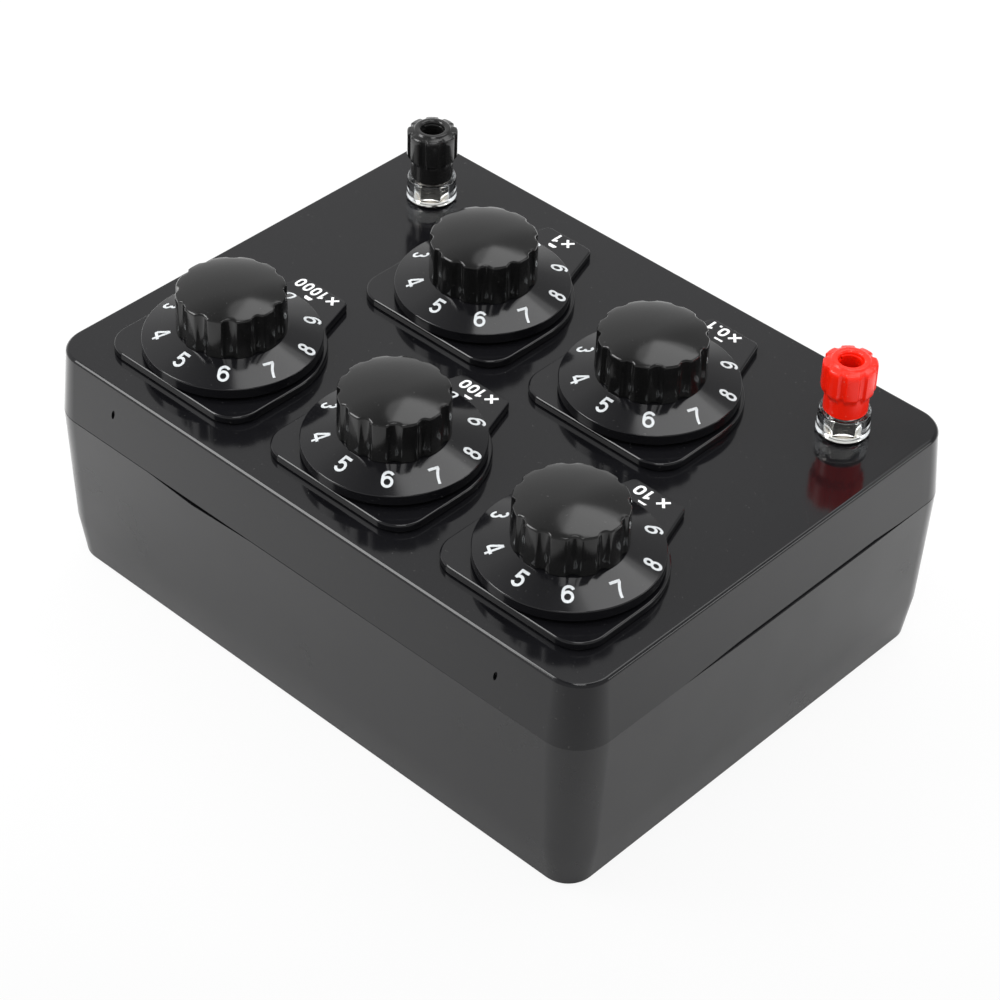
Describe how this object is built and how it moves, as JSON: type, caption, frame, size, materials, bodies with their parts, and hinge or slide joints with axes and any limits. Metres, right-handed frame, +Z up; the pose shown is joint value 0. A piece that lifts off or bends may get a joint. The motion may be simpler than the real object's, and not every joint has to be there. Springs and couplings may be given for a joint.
{
  "type": "decade resistance box",
  "caption": "Bench resistance box: drafted black case, rotary decade switches with fluted knobs and numbered dials over multiplier plates, and a red and a black binding post.",
  "frame": {"origin": "under the middle of the case, on the plane the case stands on", "axes": "+Z up, X along the long side, and the user sits on the -Y side, so the labels read along +X and the binding posts are near the -Y side, the red one at -X"},
  "size_m": [0.1628, 0.1238, 0.0785],
  "materials": {
    "case_plastic": "glossy moulded plastic",
    "cover_plastic": "glossy moulded plastic",
    "plate_plastic": "glossy moulded plastic with a white printed label",
    "dial_plastic": "glossy moulded plastic with white numerals",
    "knob_plastic": "glossy moulded plastic",
    "switch_plastic": "plain moulded plastic",
    "wafer_board": "laminated board",
    "resistor_lacquer": "lacquered winding",
    "wire_insulation": "wire insulation",
    "red_plastic": "glossy red plastic",
    "black_plastic": "glossy black plastic",
    "clear_plastic": "clear polished plastic",
    "plated_brass": "nickel-plated brass",
    "tinned_brass": "tinned brass",
    "contact_brass": "plain brass",
    "white_print": "white printed paint",
    "steel": "zinc-plated steel"
  },
  "bodies": {
    "case": {"base_case": "case_plastic", "top_cover": "cover_plastic", "case_screws": "steel", "bush_nuts": "steel", "post_nuts": "steel", "solder_lugs": "tinned_brass", "wiring": "wire_insulation", "tenths_plate": "plate_plastic", "tenths_switch_frame": "switch_plastic", "tenths_wafer": "wafer_board", "tenths_contacts": "contact_brass", "tenths_resistors": "resistor_lacquer", "units_plate": "plate_plastic", "units_switch_frame": "switch_plastic", "units_wafer": "wafer_board", "units_contacts": "contact_brass", "units_resistors": "resistor_lacquer", "tens_plate": "plate_plastic", "tens_switch_frame": "switch_plastic", "tens_wafer": "wafer_board", "tens_contacts": "contact_brass", "tens_resistors": "resistor_lacquer", "hundreds_plate": "plate_plastic", "hundreds_switch_frame": "switch_plastic", "hundreds_wafer": "wafer_board", "hundreds_contacts": "contact_brass", "hundreds_resistors": "resistor_lacquer", "thousands_plate": "plate_plastic", "thousands_switch_frame": "switch_plastic", "thousands_wafer": "wafer_board", "thousands_contacts": "contact_brass", "thousands_resistors": "resistor_lacquer", "red_collar": "clear_plastic", "red_stud": "plated_brass", "black_collar": "clear_plastic", "black_stud": "plated_brass"},
    "tenths_control": {"tenths_knob": "knob_plastic", "tenths_dial": "dial_plastic", "tenths_shaft": "steel", "tenths_wiper": "contact_brass"},
    "units_control": {"units_knob": "knob_plastic", "units_dial": "dial_plastic", "units_shaft": "steel", "units_wiper": "contact_brass"},
    "tens_control": {"tens_knob": "knob_plastic", "tens_dial": "dial_plastic", "tens_shaft": "steel", "tens_wiper": "contact_brass"},
    "hundreds_control": {"hundreds_knob": "knob_plastic", "hundreds_dial": "dial_plastic", "hundreds_shaft": "steel", "hundreds_wiper": "contact_brass"},
    "thousands_control": {"thousands_knob": "knob_plastic", "thousands_dial": "dial_plastic", "thousands_shaft": "steel", "thousands_wiper": "contact_brass"},
    "red_washer": {"red_clamp_washer": "plated_brass"},
    "red_screw_cap": {"red_cap": "red_plastic"},
    "black_washer": {"black_clamp_washer": "plated_brass"},
    "black_screw_cap": {"black_cap": "black_plastic"}
  },
  "joints": [
    {"name": "tenths_turn", "type": "hinge", "parent": "case", "child": "tenths_control", "pos_m": [-0.0263, -0.0206, 0.0667], "axis": [0, 0, 1], "continuous": true},
    {"name": "units_turn", "type": "hinge", "parent": "case", "child": "units_control", "pos_m": [0.0243, -0.0206, 0.0667], "axis": [0, 0, 1], "continuous": true},
    {"name": "tens_turn", "type": "hinge", "parent": "case", "child": "tens_control", "pos_m": [-0.0516, 0.0334, 0.0667], "axis": [0, 0, 1], "continuous": true},
    {"name": "hundreds_turn", "type": "hinge", "parent": "case", "child": "hundreds_control", "pos_m": [-0.001, 0.0334, 0.0667], "axis": [0, 0, 1], "continuous": true},
    {"name": "thousands_turn", "type": "hinge", "parent": "case", "child": "thousands_control", "pos_m": [0.0496, 0.0334, 0.0667], "axis": [0, 0, 1], "continuous": true},
    {"name": "red_washer_slide", "type": "slide", "parent": "case", "child": "red_washer", "axis": [0, 0, 1], "range_m": [0, 0.005]},
    {"name": "red_cap_turn", "type": "hinge", "parent": "red_washer", "child": "red_screw_cap", "pos_m": [-0.0636, -0.0421, 0.0653], "axis": [0, 0, 1], "range_deg": [0, 1800]},
    {"name": "black_washer_slide", "type": "slide", "parent": "case", "child": "black_washer", "axis": [0, 0, 1], "range_m": [0, 0.005]},
    {"name": "black_cap_turn", "type": "hinge", "parent": "black_washer", "child": "black_screw_cap", "pos_m": [0.0616, -0.0421, 0.0653], "axis": [0, 0, 1], "range_deg": [0, 1800]}
  ],
  "couplings": [
    {"joint": "red_cap_turn", "follows": "red_washer_slide", "rad_per_m": 6283.2},
    {"joint": "black_cap_turn", "follows": "black_washer_slide", "rad_per_m": 6283.2}
  ]
}
